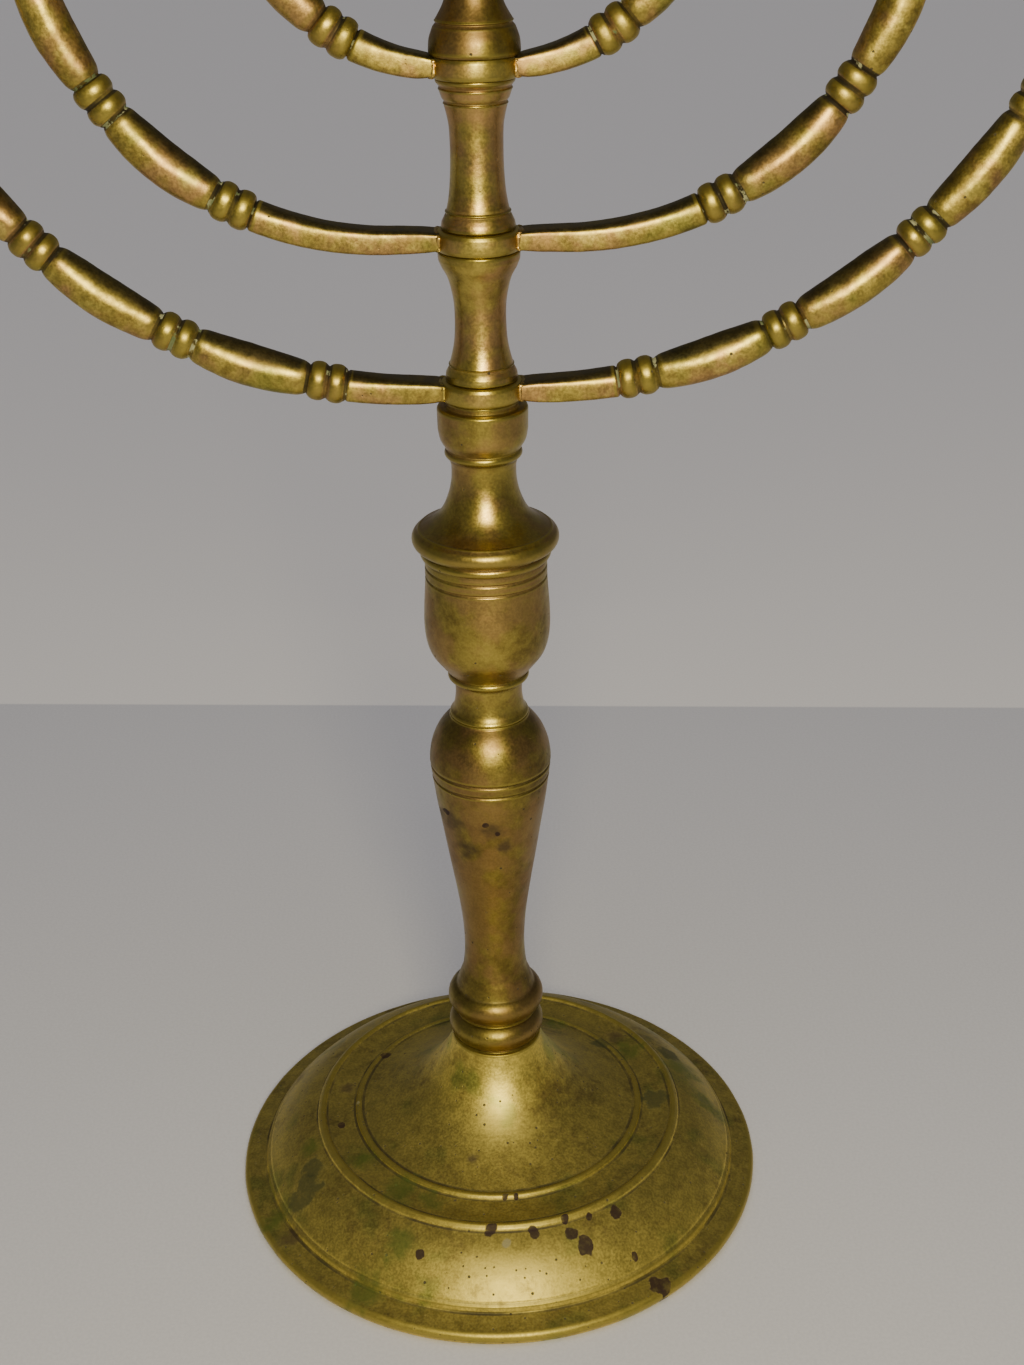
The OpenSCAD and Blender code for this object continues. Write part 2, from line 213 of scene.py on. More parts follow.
class Shader:
    """A material whose nodes are made in a few words each."""

    def __init__(self, name):
        self.material = bpy.data.materials.new(name)
        self.material.use_nodes = True
        self.tree = self.material.node_tree
        self.surface = self.tree.nodes["Principled BSDF"]

    def put(self, socket, value):
        """Links a value into a socket if it comes from a node, and else sets it."""
        if isinstance(value, bpy.types.NodeSocket):
            self.tree.links.new(value, socket)
        else:
            socket.default_value = value

    def node(self, kind, **inputs):
        """A new node. Inputs are given by name, or by place as in_0."""
        made = self.tree.nodes.new("ShaderNode" + kind)
        for key, value in inputs.items():
            place = int(key.removeprefix("in_")) if key.startswith("in_") else key
            self.put(made.inputs[place], value)
        return made

    def math(self, operation, a, b=0.0):
        made = self.node("Math", in_0=a, in_1=b)
        made.operation = operation
        return made.outputs[0]

    def plus(self, a, b):
        return self.math("ADD", a, b)

    def times(self, a, b):
        return self.math("MULTIPLY", a, b)

    def vector_math(self, operation, a, b=(0, 0, 0), out=0):
        made = self.node("VectorMath", in_0=a, in_1=b)
        made.operation = operation
        return made.outputs[out]

    def noise(self, vector, size, detail=3, roughness=0.55):
        """Noise whose features are about this many millimetres across."""
        made = self.node("TexNoise", Vector=vector, Scale=1 / (size * MM), Detail=detail)
        made.inputs["Roughness"].default_value = roughness
        return made.outputs[0]

    def axes(self, vector):
        """A vector's X, Y and Z."""
        return tuple(self.node("SeparateXYZ", Vector=vector).outputs)

    def ramp(self, value, low, high, start=0.0, end=1.0):
        """Goes smoothly from start to end as the value goes from low to high."""
        made = self.node("MapRange", in_0=value, in_1=low, in_2=high, in_3=start, in_4=end)
        made.interpolation_type = "SMOOTHSTEP"
        return made.outputs[0]

    def mix(self, share, a, b):
        """Colour a, changing to colour b."""
        made = self.node("Mix", in_0=share, in_6=colour(a), in_7=colour(b))
        made.data_type = "RGBA"
        return made.outputs[2]

    def blend(self, share, a, b):
        """Number a, changing to number b."""
        return self.node("Mix", in_0=share, in_2=a, in_3=b).outputs[0]

    def attribute(self, name):
        made = self.node("Attribute")
        made.attribute_name = name
        return made.outputs["Fac"]

    def finished(self, tone, metallic, rough, bump):
        """The material, with these on its surface."""
        self.put(self.surface.inputs["Base Color"], tone)
        self.put(self.surface.inputs["Metallic"], metallic)
        self.put(self.surface.inputs["Roughness"], rough)
        self.put(self.surface.inputs["Normal"], bump.outputs[0])
        return self.material


def colour(value):
    """A colour with its alpha, or the socket that gives it."""
    return value if isinstance(value, bpy.types.NodeSocket) else (*value, 1.0)


BRIGHT_BRASS = (0.365, 0.288, 0.060)
DULL_BRASS = (0.228, 0.173, 0.039)
BROWN_TARNISH = (0.096, 0.062, 0.021)
# Near black for dirt and painted shade in hollows, and for dirt in pits
DEEP_DIRT_AND_SHADE = (0.018, 0.013, 0.007)
PINK_BRASS = (0.34, 0.200, 0.080)
POLISHED_BRASS = (0.60, 0.50, 0.11)
# Dark olive for dust and painted shade on what faces up
SETTLED_DUST_AND_SHADE = (0.062, 0.052, 0.024)
VERDIGRIS = (0.11, 0.135, 0.055)
CREAM_CRUST = (0.33, 0.32, 0.18)
GREEN_FILM = (0.10, 0.145, 0.022)
BARE_STEEL = (0.36, 0.35, 0.34)
RUST = (0.16, 0.075, 0.035)

# Millimetres: between pits, between the bends of a stain's edge, and how far the bumps rise
PIT_SPACING = 2.6
STAIN_RAGGED = 4.5
BRASS_RELIEF = 0.35
STEEL_RELIEF = 0.2

# Each kind of stain: colour, share of its radius that fades, strength, dullness
STAIN_KINDS = {
    "brown": ((0.024, 0.009, 0.007), 0.20, 0.96, 0.7),
    "smear": ((0.050, 0.030, 0.016), 0.80, 0.80, 0.5),
    "green": ((0.080, 0.112, 0.016), 0.80, 0.75, 0.3),
    "grey": ((0.050, 0.052, 0.018), 0.40, 0.85, 0.5),
    "pale": ((0.26, 0.23, 0.13), 0.40, 0.75, 0.6),
}


def tarnished(s, place, tarnish, pink, green, polish):
    """The colour of the bare metal, and how dull and how brown it is at each point."""
    clouds = s.noise(place, 24, detail=4)
    mottles = s.noise(place, 3.6, detail=5, roughness=0.7)
    patchy = s.plus(s.times(clouds, 0.55), s.times(mottles, 0.45))
    dull = s.ramp(patchy, 0.60 - 0.3 * tarnish, 0.70 - 0.2 * tarnish)
    brown = s.ramp(patchy, 0.68 - 0.24 * tarnish, 0.80 - 0.2 * tarnish)
    metal = s.mix(dull, BRIGHT_BRASS, DULL_BRASS)
    metal = s.mix(s.times(brown, 0.75), metal, BROWN_TARNISH)
    if pink:
        blush = s.ramp(s.noise(place, 15), 0.42, 0.60, 0.15 * pink, pink)
        metal = s.mix(blush, metal, PINK_BRASS)
    if green:
        film = s.ramp(s.noise(place, 19), 0.54, 0.68, 0.0, green)
        metal = s.mix(film, metal, GREEN_FILM)
    if polish:
        handled = s.ramp(s.noise(place, 12, detail=4), 0.58, 0.68, 0.0, polish)
        metal = s.mix(handled, metal, POLISHED_BRASS)
    return metal, dull, brown


def dusty_and_shaded(s, metal, dust_and_shade, dust_and_shade_span):
    """The metal darkened on what faces up, partly by dust and partly by painted shade, and where that
    darkening lies.
    """
    normal = s.node("NewGeometry").outputs["Normal"]
    settled_and_shaded = s.times(s.ramp(s.axes(normal)[2], *dust_and_shade_span), dust_and_shade)
    return s.mix(settled_and_shaded, metal, SETTLED_DUST_AND_SHADE), settled_and_shaded


def shaded(s, metal, light, grain, patches, grains, mottles):
    """The metal scaled by light, which paints some parts lighter and others darker, and made lighter and
    darker by fine grain and by larger patches.
    """
    fine = s.ramp(grains, 0.35, 0.65, light * (1 - grain), light * (1 + grain))
    coarse = s.ramp(mottles, 0.35, 0.65, 1 - patches, 1 + patches)
    return s.vector_math("MULTIPLY", metal, s.times(fine, coarse))


def pitted(s, place, share, mottles):
    """Small round corrosion pits in this share of a pattern's cells."""
    cells = s.node("TexVoronoi", Vector=place, Scale=1 / (PIT_SPACING * MM), Randomness=1.0)
    lot = s.node("SeparateColor", Color=cells.outputs["Color"]).outputs[0]
    chosen = s.ramp(lot, 1 - share, 1.02 - share)
    size = s.ramp(mottles, 0.3, 0.7, 0.05, 0.18)
    inside = s.ramp(s.math("SUBTRACT", cells.outputs["Distance"], size), 0.0, 0.06, 1.0, 0.0)
    return s.times(inside, chosen)


def soiled_and_shaded(s, place, metal, groove, mottles, dirt_and_shade, pit):
    """Rubbed metal on edges, dirt and painted shade in hollows, and dirt in pits. Gives the colour and how
    matt it is.
    """
    rubbed = s.ramp(s.times(groove, -1.0), 0.12, 0.7)
    metal = s.mix(s.times(rubbed, 0.8), metal, BRIGHT_BRASS)
    # Painted shade: the hollows darken partly from dirt and partly as the shade that falls in grooves.
    hollow_dirt_and_shade = s.ramp(s.plus(groove, s.times(mottles, 0.2)), 0.22, 0.80)
    hollow_dirt_and_shade = s.times(hollow_dirt_and_shade, s.ramp(s.noise(place, 16), 0.32, 0.64, 0.35 * dirt_and_shade, dirt_and_shade))
    metal = s.mix(hollow_dirt_and_shade, metal, DEEP_DIRT_AND_SHADE)
    metal = s.mix(s.times(pit, 0.85), metal, DEEP_DIRT_AND_SHADE)
    return metal, s.math("MAXIMUM", s.times(hollow_dirt_and_shade, 0.6), pit)


def stained(s, place, metal, matt, mottles, stains, seen):
    """Lays each stain over the metal. seen is 0 along the axis that the stains are looked at along."""
    wander = s.node("TexNoise", Vector=place, Scale=1 / (STAIN_RAGGED * MM), Detail=4.0).outputs["Color"]
    wander = s.vector_math("SUBTRACT", wander, (0.5, 0.5, 0.5))
    for kind, centre, radius in stains:
        tone, fade, strength, dullness = STAIN_KINDS[kind]
        size = radius * MM
        ragged = s.vector_math("ADD", place, s.vector_math("MULTIPLY", wander, (1.6 * size,) * 3))
        flat = s.vector_math("MULTIPLY", ragged, seen)
        away = s.vector_math("DISTANCE", flat, tuple(c * MM for c in centre), out=1)
        mark = s.ramp(away, size, size * (1 - fade))
        mark = s.times(mark, s.ramp(mottles, 0.25, 0.55, strength * 0.6, strength))
        metal = s.mix(mark, metal, tone)
        matt = s.math("MAXIMUM", matt, s.times(mark, dullness))
    return metal, matt


def turning_lines(s, place, shifted):
    """Noise that changes along a turned outline and hardly round the axis."""
    x, y, z = s.axes(place)
    radius = s.math("SQRT", s.plus(s.times(x, x), s.times(y, y)))
    around = s.times(s.axes(shifted)[0], 0.02)
    along = s.node("CombineXYZ", X=radius, Y=around, Z=z).outputs[0]
    return s.noise(along, 0.7, roughness=0.7)


def roughness(s, smooth, patches, dull, brown, grains, mottles):
    """How rough the bare metal is. It is rougher where it is dull or brown."""
    rough = s.blend(dull, smooth, smooth + 0.08)
    rough = s.blend(brown, rough, smooth + 0.16)
    rough = s.plus(rough, s.ramp(grains, 0.3, 0.7, -0.03, 0.04))
    return s.plus(rough, s.ramp(mottles, 0.3, 0.7, -0.3 * patches, 0.4 * patches))


def crusted(s, place, groove, crusts):
    """Where pale crust fills stretches of the deepest grooves, and the crust's colour."""
    deepest = s.ramp(groove, 0.45, 0.75)
    stretch = s.ramp(s.noise(place, 6, detail=4), 0.66 - 0.2 * crusts, 0.70 - 0.2 * crusts)
    tone = s.mix(s.ramp(s.noise(place, 8, detail=2), 0.42, 0.6), VERDIGRIS, CREAM_CRUST)
    return s.times(deepest, stretch), tone


def brass(name, tarnish=0.5, light=1.0, grain=0.08, lathe=1.0, crusts=0.0, pits=0.1, pink=0.0,
          green=0.0, dust_and_shade=0.3, dust_and_shade_span=(0.45, 0.85), dirt_and_shade=0.5, smooth=0.32, patches=0.06, polish=0.0,
          film=0.0, stains=(), seen=(1, 1, 0)):
    """Aged satin brass.

    tarnish, grain, crusts, pits, pink, green, patches, polish and film are shares, and so are dust, which
    is partly painted shade on what faces up, and dirt, which is partly painted shade in hollows. light
    multiplies the metal's colour, and so paints some parts lighter and others darker; lathe is how strongly
    it was turned, and smooth is the least roughness. The darkening of what faces up, dust and painted
    shade, grows as the normal's Z goes from the first to the second number of its span. Each stain is
    (kind, centre, radius) in millimetres, looked at along the axis that is 0 in seen.
    """
    s = Shader(name)
    place = s.node("TexCoord").outputs["Object"]
    offset = s.node("CombineXYZ", X=s.attribute("seed"), Y=0.0, Z=0.0).outputs[0]
    shifted = s.vector_math("ADD", place, offset)
    groove = s.attribute("groove")
    mottles = s.noise(shifted, 5, detail=5, roughness=0.65)
    grains = s.noise(shifted, 0.8, detail=2)
    pit = pitted(s, shifted, pits, mottles)

    metal, dull, brown = tarnished(s, shifted, tarnish, pink, green, polish)
    metal, settled_and_shaded = dusty_and_shaded(s, metal, dust_and_shade, dust_and_shade_span)
    metal = shaded(s, metal, light, grain, patches, grains, mottles)
    metal, matt = soiled_and_shaded(s, shifted, metal, groove, mottles, dirt_and_shade, pit)
    if stains:
        metal, matt = stained(s, place, metal, matt, mottles, stains, seen)

    rough = roughness(s, smooth, patches, dull, s.math("MAXIMUM", brown, settled_and_shaded), grains, mottles)
    rough = s.blend(matt, rough, 0.78)
    metallic = s.math("SUBTRACT", 1 - film, s.times(matt, 0.8))

    height = s.plus(s.times(mottles, 0.25 + 2 * patches), s.times(grains, 0.12))
    height = s.math("SUBTRACT", height, s.times(pit, 0.35))
    if lathe:
        height = s.plus(height, s.times(turning_lines(s, place, shifted), 0.14 * lathe))
        s.surface.inputs["Anisotropic"].default_value = 0.3 * lathe
        s.surface.inputs["Anisotropic Rotation"].default_value = 0.25
    if crusts:
        crust, tone = crusted(s, shifted, groove, crusts)
        metal = s.mix(crust, metal, tone)
        metallic = s.blend(crust, metallic, 0.0)
        rough = s.blend(crust, rough, 0.9)
        height = s.plus(height, s.times(s.times(crust, grains), 1.4))

    bump = s.node("Bump", Strength=0.5, Distance=BRASS_RELIEF * MM, Height=height)
    return s.finished(metal, metallic, rough, bump)


def steel(name):
    """Dull steel with a little rust."""
    s = Shader(name)
    place = s.node("TexCoord").outputs["Object"]
    rust = s.ramp(s.noise(place, 4, detail=5, roughness=0.65), 0.5, 0.66)
    scratches = s.noise(s.vector_math("MULTIPLY", place, (1.0, 1.0, 0.15)), 0.6)
    bump = s.node("Bump", Strength=0.4, Distance=STEEL_RELIEF * MM, Height=s.plus(scratches, rust))
    metal = s.mix(rust, BARE_STEEL, RUST)
    return s.finished(metal, s.blend(rust, 1.0, 0.2), s.blend(rust, 0.38, 0.8), bump)


# Stains on the foot as seen from above, and on the baluster as seen from the front
FOOT_STAINS = (
    ("green", (-80, -40, 0), 8),
    ("green", (-34, -67, 0), 8),
    ("green", (-46, -76, 0), 10),
    ("green", (-49, -31, 0), 7),
    ("green", (-35, -46, 0), 9),
    ("green", (-24, -52, 0), 6),
    ("green", (-68, -20, 0), 6),
    ("green", (50, 28, 0), 9),
    ("green", (70, 22, 0), 11),
    ("green", (78, 6, 0), 7),
    ("green", (22, 42, 0), 7),
    ("grey", (-69, -38, 0), 7.5),
    ("grey", (-66, -30, 0), 5),
    ("grey", (58, -1, 0), 6.5),
    ("grey", (39, 30, 0), 4.5),
    ("grey", (66, 30, 0), 5),
    ("smear", (-74, -50, 0), 6),
    ("smear", (46, 36, 0), 6),
    ("smear", (-57, 8, 0), 5),
    ("smear", (-9, -38, 0), 3),
    ("brown", (-43, 25, 0), 2.2),
    ("brown", (-57, -12, 0), 1.6),
    ("brown", (-27, -71, 0), 1.9),
    ("brown", (-3, -66.5, 0), 2.3),
    ("brown", (12, -67, 0), 2.1),
    ("brown", (24.5, -66, 0), 2.6),
    ("brown", (29.5, -69, 0), 3.2),
    ("brown", (40, -57, 0), 2.4),
    ("brown", (22, -62, 0), 1.5),
    ("brown", (31, -60, 0), 1.4),
    ("brown", (46, -68, 0), 1.4),
    ("brown", (54, -74, 0), 4.0),
    ("brown", (2, -52, 0), 1.2),
    ("brown", (6, -52, 0), 1.0),
    ("pale", (2.5, -70, 0), 2.0),
    ("pale", (-52, -2, 0), 1.0),
)
BALUSTER_STAINS = (
    ("smear", (-13, 0, 84), 6),
    ("smear", (-8, 0, 74), 5),
    ("smear", (0, 0, 83), 6),
    ("smear", (5, 0, 76), 4),
    ("brown", (-15, 0, 87), 1.3),
    ("brown", (-2, 0, 86), 1.2),
    ("brown", (2, 0, 82), 1.0),
)

# The darkening of what faces up is partly dust and partly painted shade: it darkens the foot's flats, and
# the upper half of the arms' spindles so that their bright line sits low.
foot_metal = brass(
    "foot_metal", tarnish=0.3, light=1.8, grain=0.14, lathe=0.4, pits=0.35, green=0.5, dust_and_shade=0.55,
    dirt_and_shade=0.85, smooth=0.42, patches=0.10, film=0.09, stains=FOOT_STAINS,
)
# The light of the baluster, stem, shaft, spool and ring brass is partly polish and partly painted light:
# spools and rings are made lighter and the baluster and shaft darker, to set how bright their highlights
# show.
baluster_metal = brass(
    "baluster_metal", tarnish=0.68, light=0.86, lathe=0.5, pits=0.12, pink=0.7, smooth=0.34,
    stains=BALUSTER_STAINS, seen=(1, 0, 1),
)
stem_metal = brass("stem_metal", tarnish=0.50, light=1.1, lathe=0.5, pits=0.06, pink=0.65)
shaft_metal = brass("shaft_metal", tarnish=0.62, light=0.85, lathe=0.5, pits=0.06, pink=0.7, smooth=0.37)
spool_metal = brass(
    "spool_metal", tarnish=0.47, light=1.35, lathe=0.5, pits=0.08, pink=0.85, smooth=0.31, patches=0.08
)
ring_metal = brass(
    "ring_metal", tarnish=0.42, light=1.6, lathe=0.4, crusts=0.3, pits=0.08, pink=0.65, dust_and_shade=0.6,
    smooth=0.34,
)
arm_metal = brass(
    "arm_metal", light=1.2, grain=0.14, lathe=0.0, crusts=0.5, pits=0.12, pink=0.85, green=0.4, dust_and_shade=0.92,
    dust_and_shade_span=(0.28, 0.72), dirt_and_shade=0.95, smooth=0.38, patches=0.13, polish=0.4,
)
light_metal = brass("light_metal", tarnish=0.50, pits=0.05, pink=0.4)
steel_metal = steel("steel_metal")

# ---- Foot ----

foot_outside = (
    [(94.0, 0.0)]
    + arc((92.8, 2.4), 2.2, -45, 90, 9)
    + [(90.6, 5.1), (86.8, 6.1), (86.1, 8.2), (85.1, 9.0)]
    + spline([(84.8, 9.6), (79, 15.4), (73, 20), (66.8, 23)])
    + [(66.4, 23.9)]
    + arc((64.8, 23.6), 1.3, 60, 120, 3)
    + [(63.4, 24.0)]
    + spline([(62.8, 23.9), (58, 23.7), (53, 24.3)], 4)
    + arc((51.4, 24.4), 1.4, 40, 140, 4)
    + spline([(49.6, 25.4), (41.2, 28.6), (33, 33), (25.9, 39), (20.9, 45.6), (17.5, 51.9), (15.8, 57)])
)
foot_inside = (
    [(ROD_HOLE, 57), (ROD_HOLE, 49)]
    + spline([(14, 49), (18.5, 39.4), (29.6, 30.3), (42.2, 24.9), (52, 21.6), (64, 20.8), (73.6, 15),
              (80.6, 8.2)])
    + [(82.6, 4.4), (84.6, 0.0)]
)
turned("foot", foot_outside + foot_inside, foot_metal, 1, columns=224, wobble=0.16)

bead_outside = [(14.6, 0.0)] + arc((11.2, 5.3), 5.6, -62, 70, 14) + [(14.4, 10.8), (14.4, 11.2)]
turned("foot_bead", with_rod_hole(bead_outside), baluster_metal, 2)

# ---- Stem ----

baluster_outside = (
    [(14.4, 0.0)]
    + arc((11.4, 5.5), 5.5, -57, 60, 14)
    + [(13.9, 10.5)]
    + spline([(13.7, 10.9), (12.5, 14.4), (11.2, 18.4), (10.6, 25), (10.6, 32), (11.3, 41), (12.8, 52),
              (14.9, 65), (16.8, 77), (18.4, 87), (19.5, 95.4)])
    + incised(19.7, 96.7)
    + incised(20.1, 100.8)
    + spline([(20.25, 102), (20.1, 104.6), (19.3, 108.8), (17.6, 113), (15.6, 116), (13.2, 118.6)])
    + [(13.0, 119.3)]
)
turned("stem_baluster", with_rod_hole(baluster_outside), baluster_metal, 3)

vase_outside = (
    [(12.9, 0.0), (13.0, 0.6)]
    + spline([(12.8, 1), (11.6, 3), (10.9, 7.6), (11.2, 12)])
    + arc((12, 14.2), 1.3, -70, 70, 6)
    + spline([(13.4, 16.2), (15.9, 19.4), (18.4, 23), (19.8, 27.4), (20.3, 33), (20.1, 39.4), (19.7, 45),
              (19.5, 48.4)])
    + incised(19.5, 49.4)
    + [(19.45, 51.0)]
    + incised(19.5, 52.9)
    + [(19.4, 55.4)]
    + arc((19.2, 57.2), 1.6, -80, 60, 6)
    + [(20.3, 58.8)]
    + arc((20.2, 62.2), 3.1, -60, 62, 10)
    + [(21.1, 65.6)]
    + spline([(20.4, 65.7), (16.8, 67.8), (13.6, 71.2), (11.3, 76.4), (10.2, 81.4), (10.05, 86)])
    + [(10.6, 88.2)]
    + arc((10.6, 90.2), 1.5, -70, 60, 5)
    + [(11.9, 92.2)]
    + spline([(12.1, 92.6), (13.3, 94.8), (13.9, 98)], 4)
    + [(14.0, 104.4), (13.6, 105.0), (11.0, 105.0), (11.0, 106.9)]
)
turned("stem_vase", with_rod_hole(vase_outside), stem_metal, 4)

lower_spool_outside = (
    [(10.6, 0.0), (11.0, 0.5), (10.8, 2.4)]
    + incised(10, 4.5)
    + spline([(9.6, 5.2), (8.7, 8.6), (8, 12.6), (7.7, 18), (7.8, 23), (8.4, 27), (9.5, 31.2), (11.2, 34.4),
              (12.1, 36.6)])
    + [(12.2, 38.6), (11.8, 39.0)]
)
turned("lower_spool", with_rod_hole(lower_spool_outside), spool_metal, 5)

upper_spool_outside = (
    [(10.6, 0.0), (11.0, 0.5), (10.7, 2.2)]
    + incised(9.8, 4.6)
    + spline([(9.2, 5.6), (8.5, 9), (8, 13.6), (7.7, 20), (7.8, 28), (8.3, 31.6), (9.1, 35)])
    + incised(9.4, 35.8)
    + spline([(9.7, 36.8), (10.4, 38.8)], 2)
    + incised(10.7, 39.8)
    + [(11.4, 41.2), (11.4, 42.0)]
)
turned("upper_spool", with_rod_hole(upper_spool_outside), spool_metal, 6)

# The outline is drawn 67 mm tall up to the pan's seat, and stretched a little
STUD_RADIUS = 2.4
STUD_HEIGHT = 8.0
SHAFT_ROD_END = 22.0
SHAFT_DRAWN = 67.0
SHAFT_STRETCH = 68 / SHAFT_DRAWN
shaft_outside = (
    [(12.5, 0.0), (13.0, 0.8)]
    + spline([(13, 1.6), (12.7, 4.4), (11.6, 7.4)], 4)
    + incised(11.2, 8.4)
    + spline([(10.9, 9.2), (8.6, 13.2), (7, 18.4), (6.2, 25), (6.3, 30.4)])
    + arc((5, 33.4), 2.5, -60, 66, 8)
    + [(5.7, 35.9)]
    + arc((5, 38.4), 2.6, -66, 60, 8)
    + spline([(5.4, 41.2), (6.1, 48), (6.2, 54), (5.4, 61)])
    + [(7.2, 62.6), (7.6, 64.0), (7.6, 66.4), (7.0, SHAFT_DRAWN), (STUD_RADIUS, SHAFT_DRAWN)]
)
shaft_outside = [(r, z * SHAFT_STRETCH) for r, z in shaft_outside]
shaft_top = shaft_outside[-1][1] + STUD_HEIGHT
shaft_end = [
    (STUD_RADIUS, shaft_top),
    (0.0, shaft_top),
    (0.0, SHAFT_ROD_END),
    (ROD_HOLE, SHAFT_ROD_END),
    (ROD_HOLE, 0.0),
]
turned("centre_shaft", shaft_outside + shaft_end, shaft_metal, 7, columns=96)

# ---- Rings ----

# The faces lie just inside the CAD ring's, so that they stay off the stem sections when the ring turns
ring_outside = [
    (11.2, 0.03),
    (12.1, 0.18),
    (12.55, 1.2),
    (RING_RADIUS, RING_HEIGHT / 2),
    (12.5, 5.0),
    (12.1, 6.0),
    (11.4, 6.17),
]
for seed, ring in enumerate(("lower_ring", "middle_ring", "upper_ring"), 8):
    turned(ring, with_rod_hole(ring_outside), ring_metal, seed, columns=96, wobble=0.2)

# ---- Arms ----

# Sizes along and across an arm. ROOT_DEPTH is how far its bar reaches into the ring
BEAD_PITCH = 47.0
BEAD_RADIUS = 5.8
BEAD_HALF = 2.65
BEAD_GAP_HALF = 0.12
PAIR_HALF = 2 * BEAD_HALF + 0.35
SPINDLE_RADIUS = 6.2
SPINDLE_END = 4.75
ROOT_HALF_WIDTH = 5.2
ROOT_HALF_HEIGHT = 2.8
ROOT_DEPTH = 1.6
COLLAR_LENGTH = 5.0
COLLAR_RADIUS = 7.5
STATION_STEP = 0.42
ARM_COLUMNS = 44
ARM_TURNS = [2 * math.pi * k / ARM_COLUMNS for k in range(ARM_COLUMNS)]


# The next four functions each give what section_at gives, for one stretch of an arm


def root_section(s, first):
    """The bar between the ring and the first beads. It starts boxy and flat, and grows rounder."""
    t = max(0.0, (s - RING_RADIUS) / (first - RING_RADIUS))
    worn = 0.9 * max(0.0, 1 - (first - s) / 1.1) ** 2
    half_height = ROOT_HALF_HEIGHT + 0.5 * (1 - math.exp(-t / 0.08)) + 1.2 * t
    return ROOT_HALF_WIDTH - 0.1 * t - worn, half_height - worn, 6.5 - 4.3 * t**0.6, 6.5 - 2.9 * t


def collar_section(s, end):
    """The wider round end that the drip pan rests on."""
    rise = min(1.0, (s - (end - COLLAR_LENGTH)) / 1.2, (end - s) / 0.8 + 0.6)
    radius = SPINDLE_END + (COLLAR_RADIUS - SPINDLE_END) * rise
    return radius, radius, 2.0, 2.0


def bead_section(off):
    """A pair of beads, at this distance from the middle of the pair."""
    across = (abs(off) - BEAD_HALF - BEAD_GAP_HALF) / BEAD_HALF
    radius = BEAD_RADIUS - 1.05 * min(1.0, abs(across)) ** 2.6
    return radius, radius, 2.2, 2.4


def spindle_section(s, before, after):
    """The spindle between two pairs of beads. It swells, with worn shoulders."""
    swell = math.sin(math.pi * (s - before) / (after - before))
    shoulder = 0.7 * max(0.0, 1 - min(s - before, after - s) / 3.0) ** 2
    radius = SPINDLE_END + (SPINDLE_RADIUS - SPINDLE_END) * swell**0.75 - shoulder
    return radius, radius, 2.3 - 0.55 * swell, 2.5 + 0.6 * swell


def section_at(s, pairs, end):
    """An arm's half width and half height at distance s, and the squareness of its upper and lower half."""
    if s < pairs[0] - PAIR_HALF:
        return root_section(s, pairs[0] - PAIR_HALF)
    if s > end - COLLAR_LENGTH:
        return collar_section(s, end)
    nearest = min(pairs, key=lambda p: abs(p - s))
    if abs(s - nearest) < PAIR_HALF:
        return bead_section(s - nearest)
    before = max(p for p in pairs if p < s) + PAIR_HALF
    after = min([p - PAIR_HALF for p in pairs if p > s] + [end - COLLAR_LENGTH])
    return spindle_section(s, before, after)


def arm_place(s, reach, bend, z):
    """The point x, z and the angle of an arm's centre line: level, a quarter circle, then straight up."""
    level = reach - bend
    angle = min(max((s - level) / bend, 0.0), math.pi / 2)
    rise = max(s - level - bend * math.pi / 2, 0.0)
    return min(s, level) + bend * math.sin(angle), z + bend * (1 - math.cos(angle)) + rise, angle


def boxy(turn, half_width, half_height, power):
    """A point of an outline that is an ellipse where power is 2 and boxier where it is more."""
    across = half_width * math.copysign(abs(math.cos(turn)) ** (2 / power), math.cos(turn))
    up = half_height * math.copysign(abs(math.sin(turn)) ** (2 / power), math.sin(turn))
    return across, up


def capped_tube(rows, columns, first):
    """Faces of a tube closed at both ends, whose points start at number first."""
    last_row = (rows - 1) * columns
    faces = tube_faces(rows, columns)
    faces.append(tuple(range(columns - 1, -1, -1)))
    faces.append(tuple(range(last_row, last_row + columns)))
    return [tuple(first + i for i in face) for face in faces]


def arm_points(side, reach, bend, z, pairs, end, seed):
    """The points of an arm swept along its centre line, and how deep each lies in a groove."""
    stations = np.append(np.arange(RING_RADIUS - ROOT_DEPTH, end, STATION_STEP), end)
    points, outline = [], []
    for s in stations:
        x, height, lean = arm_place(s, reach, bend, z)
        half_width, half_height, upper, lower = section_at(s, pairs, end)
        outline.append(((half_width + half_height) / 2, s))
        for turn in ARM_TURNS:
            across, up = boxy(turn, half_width, half_height, upper if math.sin(turn) > 0 else lower)
            where = Vector((s, across, up))
            lump = 1 + 0.020 * noise.noise(where * 0.13 + Vector((0, 0, seed)))
            lump += 0.010 * noise.noise(where * 0.45 + Vector((seed, 0, 0)))
            across, up = across * lump, up * lump
            spot = side * (x - up * math.sin(lean)), across, height + up * math.cos(lean)
            points.append(tuple(c * MM for c in spot))
    groove = np.repeat(relief(np.array(outline), reach=1.5, full=0.42), ARM_COLUMNS)
    return points, groove


def stud_points(side, reach):
    """The points of the stud on an arm's end. It starts inside the end, and its tip is worn."""
    rows = ((-1.0, STUD_RADIUS), (STUD_HEIGHT - 0.4, STUD_RADIUS), (STUD_HEIGHT, STUD_RADIUS - 0.4))
    return [
        ((side * reach + radius * math.cos(turn)) * MM, radius * math.sin(turn) * MM, (SEAT + height) * MM)
        for height, radius in rows
        for turn in ARM_TURNS
    ]


